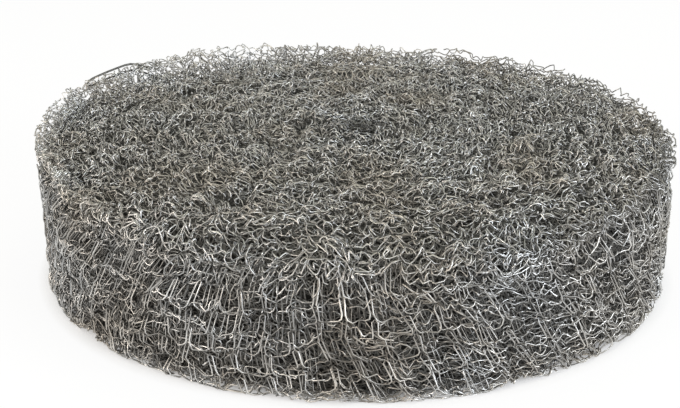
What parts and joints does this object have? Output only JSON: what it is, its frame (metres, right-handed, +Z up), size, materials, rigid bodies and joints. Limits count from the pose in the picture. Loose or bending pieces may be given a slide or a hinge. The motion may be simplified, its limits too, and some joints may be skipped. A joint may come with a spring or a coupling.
{
  "type": "roll of knitted steel mesh",
  "caption": "Short wide roll of knitted stainless steel wire ribbon, wound on itself and standing on its end, for stuffing gaps, scouring and filtering.",
  "frame": {"origin": "middle of the roll's footprint, on the surface that it stands on", "axes": "+Z up along the roll's axis; the ribbon's outer end lies at the back, towards +Y"},
  "size_m": [0.1682, 0.169, 0.038],
  "materials": {
    "knitted_wire": "fine bright stainless wire, knitted open, with dark gaps between the loops"
  },
  "bodies": {
    "root": {"mesh_roll": "knitted_wire"}
  },
  "joints": []
}
